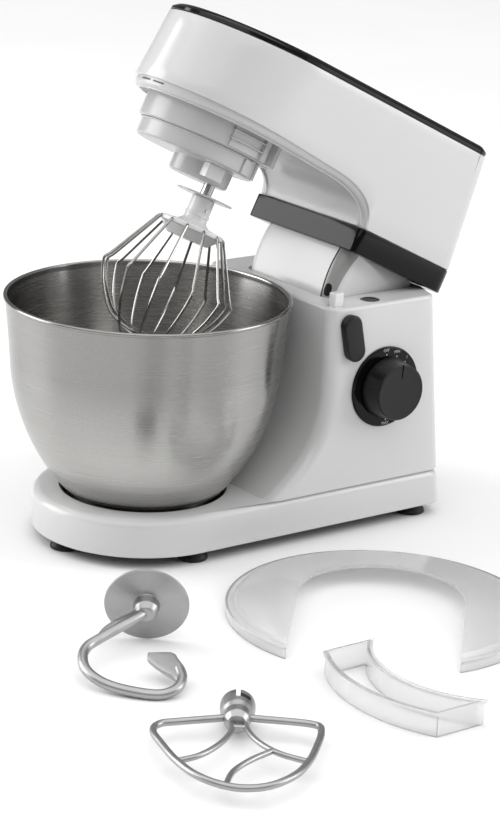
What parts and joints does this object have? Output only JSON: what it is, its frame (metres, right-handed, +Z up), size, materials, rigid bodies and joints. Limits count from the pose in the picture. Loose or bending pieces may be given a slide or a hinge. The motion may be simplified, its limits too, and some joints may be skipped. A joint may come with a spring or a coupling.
{
  "type": "stand mixer",
  "caption": "Tilt-head stand mixer, head raised, with a steel bowl, balloon whisk, dough hook, flat beater, splash guard and pouring chute.",
  "frame": {"origin": "middle of the footprint's bounding box, on the table", "axes": "+X from the bowl back to the column, +Y away from the speed knob's side, +Z up"},
  "size_m": [0.5274, 0.564, 0.4214],
  "materials": {
    "white_shell": "glossy white moulded plastic",
    "white_satin": "satin white moulded plastic",
    "gloss_black": "mirror-gloss black plastic",
    "black_plastic": "satin black plastic",
    "foot_rubber": "soft matt black rubber",
    "brushed_bowl": "stainless steel, brushed round the bowl",
    "whisk_wire": "polished stainless wire",
    "steel": "turned steel",
    "satin_aluminium": "satin cast aluminium",
    "cast_frame": "raw die-cast alloy",
    "nylon": "natural nylon",
    "motor_iron": "varnished laminations and winding",
    "clear_plastic": "clear moulded plastic"
  },
  "bodies": {
    "base": {"base_housing": "white_shell", "base_plate": "black_plastic", "foot_nose": "foot_rubber", "foot_front_right": "foot_rubber", "foot_front_left": "foot_rubber", "foot_rear_right": "foot_rubber", "foot_rear_left": "foot_rubber", "shelf_plug": "black_plastic", "cord_inlet": "foot_rubber", "bowl_seat": "black_plastic", "hinge_pin": "steel", "hinge_bracket_left": "cast_frame", "hinge_bracket_right": "cast_frame", "knob_plate": "black_plastic", "speed_switch": "black_plastic", "control_board": "nylon"},
    "knob": {"speed_knob": "black_plastic"},
    "lever": {"release_lever": "black_plastic"},
    "latch": {"latch_block": "white_satin"},
    "bowl": {"bowl": "brushed_bowl", "bowl_foot": "brushed_bowl"},
    "head": {"head_band": "gloss_black", "head_housing": "white_shell", "head_top_cover": "gloss_black", "underside_cover": "white_satin", "hinge_frame": "cast_frame", "hinge_skirt": "white_satin", "planetary_housing": "white_satin", "ring_gear": "nylon", "shaft_bearing": "steel", "motor_stator": "motor_iron", "motor_bracket": "cast_frame", "drive_belt": "foot_rubber"},
    "carrier": {"planet_carrier": "white_satin", "carrier_shaft": "steel", "carrier_pulley": "nylon"},
    "motor": {"motor_armature": "steel", "motor_pulley": "steel", "motor_fan": "nylon"},
    "tool": {"tool_shaft": "steel", "planet_gear": "nylon", "drip_disc": "white_satin", "whisk_hub": "white_satin", "whisk_wire_1": "whisk_wire", "whisk_wire_2": "whisk_wire", "whisk_wire_3": "whisk_wire", "whisk_wire_4": "whisk_wire", "whisk_wire_5": "whisk_wire", "whisk_wire_6": "whisk_wire"},
    "dough_hook": {"dough_hook": "satin_aluminium"},
    "flat_beater": {"flat_beater": "satin_aluminium"},
    "splash_guard": {"splash_guard": "clear_plastic"},
    "pouring_chute": {"pouring_chute": "clear_plastic"}
  },
  "joints": [
    {"name": "head_tilt", "type": "hinge", "parent": "base", "child": "head", "pos_m": [0.19366, 0.16905, 0.1722], "axis": [0, 1, 0], "range_deg": [-26.3, 0]},
    {"name": "bowl_twist", "type": "hinge", "parent": "base", "child": "bowl", "pos_m": [-0.02764, 0.16905, 0.0412], "axis": [0, 0, 1], "range_deg": [0, 40]},
    {"name": "speed_knob_turn", "type": "hinge", "parent": "base", "child": "knob", "pos_m": [0.14336, 0.08225, 0.12], "axis": [0, 1, 0], "range_deg": [-47, 122]},
    {"name": "release_lever_turn", "type": "hinge", "parent": "base", "child": "lever", "pos_m": [0.11256, 0.08225, 0.1546], "axis": [0, 1, 0], "range_deg": [-20, 0], "stiffness_Nm_per_rad": 0.12, "springref_deg": 20.05},
    {"name": "latch_slide", "type": "slide", "parent": "base", "child": "latch", "axis": [0, 0, 1], "range_m": [-0.0041, 0], "stiffness_N_per_m": 25, "springref_m": 0.004},
    {"name": "carrier_spin", "type": "hinge", "parent": "head", "child": "carrier", "pos_m": [0.01335, 0.16905, 0.30683], "axis": [0.4431, 0, 0.8965], "continuous": true},
    {"name": "tool_spin", "type": "hinge", "parent": "carrier", "child": "tool", "pos_m": [0.01728, 0.15674, 0.27923], "axis": [0.4431, 0, 0.8965], "continuous": true},
    {"name": "motor_spin", "type": "hinge", "parent": "head", "child": "motor", "pos_m": [0.17413, 0.16905, 0.25748], "axis": [0.4431, 0, 0.8965], "continuous": true},
    {"name": "dough_hook_lift", "type": "slide", "parent": "base", "child": "dough_hook", "axis": [0, 0, 1], "range_m": [0, 0.06]},
    {"name": "flat_beater_lift", "type": "slide", "parent": "base", "child": "flat_beater", "axis": [0, 0, 1], "range_m": [0, 0.06]},
    {"name": "splash_guard_lift", "type": "slide", "parent": "base", "child": "splash_guard", "axis": [0, 0, 1], "range_m": [0, 0.06]},
    {"name": "pouring_chute_lift", "type": "slide", "parent": "base", "child": "pouring_chute", "axis": [0, 0, 1], "range_m": [0, 0.06]}
  ],
  "couplings": [
    {"joint": "tool_spin", "follows": "carrier_spin", "ratio": -3},
    {"joint": "motor_spin", "follows": "carrier_spin", "ratio": 5}
  ]
}
